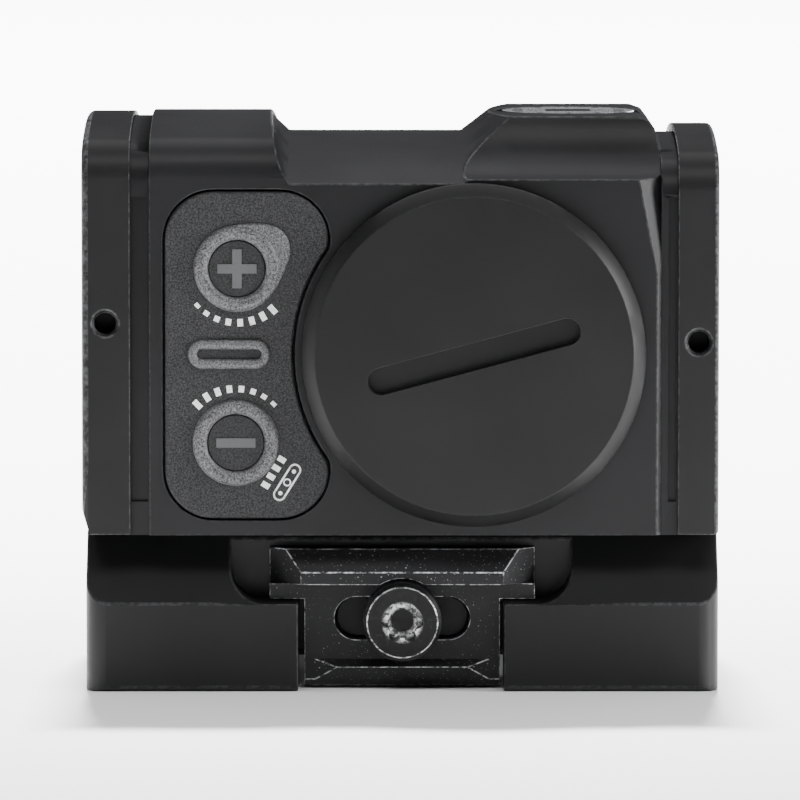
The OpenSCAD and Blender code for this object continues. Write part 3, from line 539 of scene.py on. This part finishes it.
def printDisc(bm, at, radius, settings, inner=0.0, count=24):
    # a thin printed disc, or a ring where an inner radius is given
    depth = settings["proud"] + settings["sink"]
    foot = padSet["frontMm"] + settings["sink"]
    outer = circleLoop(bm, radius, at, foot, count)
    if inner:
        band = bmesh.ops.bridge_loops(bm, edges=loopEdges(outer) + loopEdges(circleLoop(bm, inner, at, foot, count)))
        faces = band["faces"]
    else:
        faces = bmesh.ops.contextual_create(bm, geom=loopEdges(outer))["faces"]
    raised = bmesh.ops.extrude_face_region(bm, geom=faces, use_keep_orig=True)["geom"]
    bmesh.ops.translate(bm, verts=[item for item in raised if isinstance(item, bmesh.types.BMVert)],
                        vec=(0, -depth * mm, 0))


def makePrint(settings):
    bm = bmesh.new()
    count = settings["count"]
    for key, arc, heights in (("plus", settings["plusArc"], (settings["short"], settings["tall"])),
                              ("minus", settings["minusArc"], (settings["tall"], settings["short"]))):
        for i in range(count):
            share = i / (count - 1)
            turn = arc[0] + (arc[1] - arc[0]) * share
            tall = heights[0] + (heights[1] - heights[0]) * share
            ray = Vector((math.cos(math.radians(turn)), math.sin(math.radians(turn))))
            at = Vector(padSet[key]) + ray * settings["radius"]
            printBlock(bm, at, turn, (tall, settings["barWidth"]), settings)
    bmesh.ops.recalc_face_normals(bm, faces=bm.faces)
    return bm


def makePill(settings):
    # the pill is an outline, with a row of bars beside it
    bm = bmesh.new()
    length, width = settings["pill"]
    stroke, pillTurn = settings["stroke"], settings["pillTurn"]
    along = Vector((math.cos(math.radians(pillTurn)), math.sin(math.radians(pillTurn))))
    across = Vector((-along.y, along.x))
    at = Vector(settings["pillAt"])
    reach = (width - stroke) / 2
    for side in (-1, 1):
        printBlock(bm, at + across * side * reach, pillTurn, (length - width, stroke), settings)
        end = at + along * side * (length - width) / 2
        for step in range(settings["capPieces"]):
            turn = pillTurn + (0 if side > 0 else 180) - 90 + 180 * step / (settings["capPieces"] - 1)
            ray = Vector((math.cos(math.radians(turn)), math.sin(math.radians(turn))))
            printBlock(bm, end + ray * reach, turn, (stroke, settings["capPiece"]), settings)
    ringOuter, ringInner = settings["ring"]
    printDisc(bm, at, ringOuter, settings, ringInner)
    for side in (-1, 1):
        printDisc(bm, at + along * side * settings["dotReach"], settings["dot"], settings)
    row = Vector(settings["rowAt"])
    for step in range(settings["rowCount"]):
        place = row + along * (step - (settings["rowCount"] - 1) / 2) * settings["rowStep"]
        printBlock(bm, place, pillTurn, settings["rowBar"], settings)
    bmesh.ops.recalc_face_normals(bm, faces=bm.faces)
    return bm


# black marks on each adjustment dial: ticks round it, a bar at each side and end of its slot, and a black sheet on the
# slot's floor that is painted shade inside the slot
dialMarkSet = {"ticks": 12, "tick": (0.7, 0.22), "radius": 4.3, "proud": 0.015, "depth": 0.03, "slot": (6.5, 0.72),
               "slotShadeDepth": 0.57, "sideRadius": 0.84, "side": (0.9, 3.4), "endRadius": 3.85, "end": (0.8, 1.1)}


def makeDialMarks(nodeName, settings):
    # built round +Z, then turned to face the way its dial does
    low, high = (Vector(corner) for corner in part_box(nodeName))
    faceUp = nodeName == "elevation_dial"
    bm = bmesh.new()

    def bar(radius, turn, size, height):
        place = (Matrix.Rotation(math.radians(turn), 4, "Z") @ Matrix.Translation((radius * mm, 0, height * mm))
                 @ Matrix.Diagonal((size[0] * mm, size[1] * mm, settings["depth"] * mm, 1)))
        bmesh.ops.create_cube(bm, size=1, matrix=place)

    top = settings["proud"] - settings["depth"] / 2
    for i in range(settings["ticks"]):
        if i % (settings["ticks"] // 2):
            bar(settings["radius"], i * 360 / settings["ticks"], settings["tick"], top)
    for turn in (90, 270):
        bar(settings["sideRadius"], turn, settings["side"], top)
    for turn in (0, 180):
        bar(settings["endRadius"], turn, settings["end"], top)
    # a black sheet on the slot's floor: painted shade
    bar(0, 0, settings["slot"], settings["depth"] / 2 - settings["slotShadeDepth"])
    middle = (low + high) / 2
    if faceUp:
        place = Matrix.Translation((middle.x, middle.y, high.z))
    else:
        place = Matrix.Translation((middle.x, high.y, middle.z)) @ Matrix.Rotation(math.radians(-90), 4, "X")
    bmesh.ops.transform(bm, matrix=place, verts=bm.verts)
    return bm


for nodeName, pieceName in (("elevation_dial", "elevationDialMarks"), ("windage_dial", "windageDialMarks")):
    finishPiece(makeDialMarks(nodeName, dialMarkSet), pieceName, dialInkAndShade, nodeName)
finishPiece(makePrint(printSet), "keypadScaleMarks", printWhite, "root")
finishPiece(makePill(printSet), "keypadPowerMark", printWhite, "root")
print("keypad ready")


stageSet = {
    "floorSize": 8.0, "floorColor": "#fafafa", "worldColor": "#ffffff", "worldStrength": 0.07,
    # name, place in mm, aim in mm, size in mm, watts
    "lights": [
        ("topSoftbox", (0, 300, 850), (0, 0, 20), (1300, 700), 3.4),
        ("frontSoftbox", (0, -560, 760), (0, 0, 20), (900, 260), 4.2),
        ("rightStrip", (420, -130, 130), (10, 0, 20), (60, 300), 2.6),
        ("leftStrip", (-420, -60, 120), (-10, 0, 20), (60, 300), 0.2),
    ],
    # the lamp that lights the floor behind: place, aim and radius in mm, cone in degrees, edge, watts
    "sweep": {"place": (0, 1000, 1700), "aim": (0, 950, 0), "cone": 64, "edge": 0.25, "radius": 150,
              "watts": 1300.0},
}


def makeStage(settings):
    lowest = cadBox[0][2]
    bm = bmesh.new()
    bmesh.ops.create_grid(bm, x_segments=1, y_segments=1, size=settings["floorSize"] / 2,
                          matrix=Matrix.Translation((0, 0, lowest)))
    mesh = bpy.data.meshes.new("floor")
    bm.to_mesh(mesh)
    bm.free()
    floor = bpy.data.objects.new("floor", mesh)
    bpy.context.scene.collection.objects.link(floor)
    material, tree, shader = startMaterial("pale_floor")
    shader.inputs["Base Color"].default_value = linear(settings["floorColor"])
    shader.inputs["Roughness"].default_value = 0.9
    shader.inputs["Specular IOR Level"].default_value = 0.0
    mesh.materials.append(material)
    for name, place, aim, size, watts in settings["lights"]:
        data = bpy.data.lights.new(name, "AREA")
        data.shape = "RECTANGLE"
        data.size = size[0] * mm
        data.size_y = size[1] * mm
        data.energy = watts
        lamp = bpy.data.objects.new(name, data)
        lamp.location = Vector(place) * mm
        lamp.rotation_euler = (Vector(aim) - Vector(place)).to_track_quat("-Z", "Y").to_euler()
        bpy.context.scene.collection.objects.link(lamp)
    sweep = settings["sweep"]
    data = bpy.data.lights.new("sweepSpot", "SPOT")
    data.energy = sweep["watts"]
    data.spot_size = math.radians(sweep["cone"])
    data.spot_blend = sweep["edge"]
    data.shadow_soft_size = sweep["radius"] * mm
    lamp = bpy.data.objects.new("sweepSpot", data)
    lamp.location = Vector(sweep["place"]) * mm
    lamp.rotation_euler = (Vector(sweep["aim"]) - Vector(sweep["place"])).to_track_quat("-Z", "Y").to_euler()
    # its own glare isn't mirrored in the object
    lamp.visible_glossy = False
    bpy.context.scene.collection.objects.link(lamp)
    world = bpy.data.worlds.new("studio")
    world.use_nodes = True
    back = world.node_tree.nodes["Background"]
    back.inputs["Color"].default_value = linear(settings["worldColor"])
    back.inputs["Strength"].default_value = settings["worldStrength"]
    bpy.context.scene.world = world


# a long lens far off, looking along +Y and a little down
cameraSet = {"place": (-2.2, -600, 67.3), "tilt": 5.0, "lens": 356.2, "shiftX": 0.0375}


def makeCamera(settings):
    data = bpy.data.cameras.new("camera")
    data.lens = settings["lens"]
    data.sensor_width = 36
    data.shift_x = settings["shiftX"]
    data.clip_start = 0.01
    data.clip_end = 20
    camera = bpy.data.objects.new("camera", data)
    camera.location = Vector(settings["place"]) * mm
    camera.rotation_euler = (math.radians(90 - settings["tilt"]), 0, 0)
    bpy.context.scene.collection.objects.link(camera)
    bpy.context.scene.camera = camera


makeCamera(cameraSet)
makeStage(stageSet)
print("stage ready")
